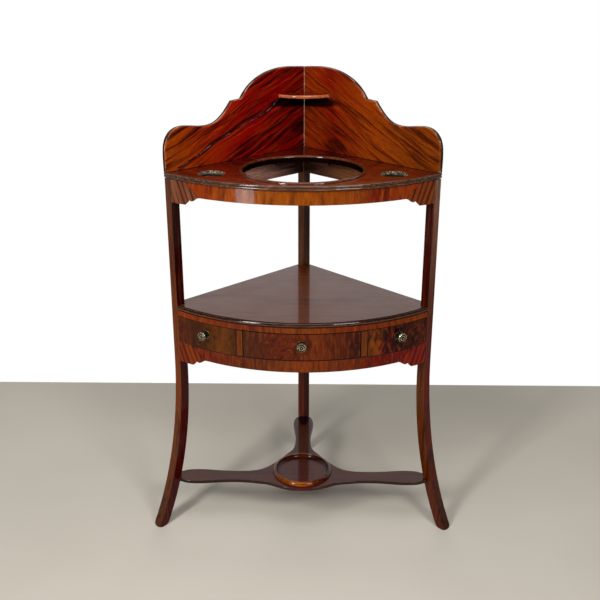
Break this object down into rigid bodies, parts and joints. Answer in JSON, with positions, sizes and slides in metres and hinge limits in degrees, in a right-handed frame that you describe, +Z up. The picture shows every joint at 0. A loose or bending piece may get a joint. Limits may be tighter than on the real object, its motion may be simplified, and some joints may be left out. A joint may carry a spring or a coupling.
{
  "type": "corner washstand",
  "caption": "Bow-fronted corner washstand with a shaped gallery, a top pierced for a basin and cups, a shelf over a drawer case, swept front legs and a dished stretcher.",
  "frame": {"origin": "centre of the bounding box at floor level; the rear corner is at +Y", "axes": "+Z up; -Y towards the bowed front, +Y into the room corner, +X to the viewer's right"},
  "size_m": [0.7574, 0.454, 1.1049],
  "materials": {
    "polished_mahogany": "french polished mahogany",
    "figured_mahogany": "french polished figured mahogany veneer",
    "dark_mahogany": "dark polished mahogany",
    "drawer_lining": "bare oak and pine",
    "aged_brass": "aged brass"
  },
  "bodies": {
    "stand": {"rear_leg": "polished_mahogany", "front_leg_left": "polished_mahogany", "front_leg_right": "polished_mahogany", "top_board": "polished_mahogany", "top_edge_moulding": "polished_mahogany", "basin_bead": "polished_mahogany", "corner_shelf": "polished_mahogany", "shelf_board": "polished_mahogany", "shelf_bead": "polished_mahogany", "stretcher_cross": "polished_mahogany", "stretcher_rear_arm": "polished_mahogany", "stretcher_dish_ring": "polished_mahogany", "gallery_left": "figured_mahogany", "gallery_right": "figured_mahogany", "top_apron": "figured_mahogany", "top_bracket_left": "figured_mahogany", "top_bracket_right": "figured_mahogany", "case_rail_upper": "figured_mahogany", "case_rail_lower": "figured_mahogany", "lower_bracket_left": "figured_mahogany", "lower_bracket_right": "figured_mahogany", "muntin_left": "figured_mahogany", "muntin_right": "figured_mahogany", "sham_drawer_left": "figured_mahogany", "sham_drawer_right": "figured_mahogany", "top_rail_left": "dark_mahogany", "top_rail_right": "dark_mahogany", "case_side_left": "dark_mahogany", "case_side_right": "dark_mahogany", "top_glue_block_left": "drawer_lining", "top_glue_block_right": "drawer_lining", "drawer_runner_left": "drawer_lining", "drawer_runner_right": "drawer_lining", "drawer_guide_left": "drawer_lining", "drawer_guide_right": "drawer_lining", "drawer_kicker_left": "drawer_lining", "drawer_kicker_right": "drawer_lining", "drawer_stop_left": "drawer_lining", "drawer_stop_right": "drawer_lining", "knob_left": "aged_brass", "knob_right": "aged_brass", "backplate_left": "aged_brass", "backplate_right": "aged_brass", "knob_nut_left": "aged_brass", "knob_nut_right": "aged_brass"},
    "drawer": {"drawer_front": "figured_mahogany", "drawer_side_left": "drawer_lining", "drawer_side_right": "drawer_lining", "drawer_back": "drawer_lining", "drawer_bottom": "drawer_lining", "knob_centre": "aged_brass", "backplate_centre": "aged_brass", "knob_nut_centre": "aged_brass"}
  },
  "joints": [
    {"name": "drawer_slide", "type": "slide", "parent": "stand", "child": "drawer", "axis": [0, -1, 0], "range_m": [0, 0.2]}
  ]
}
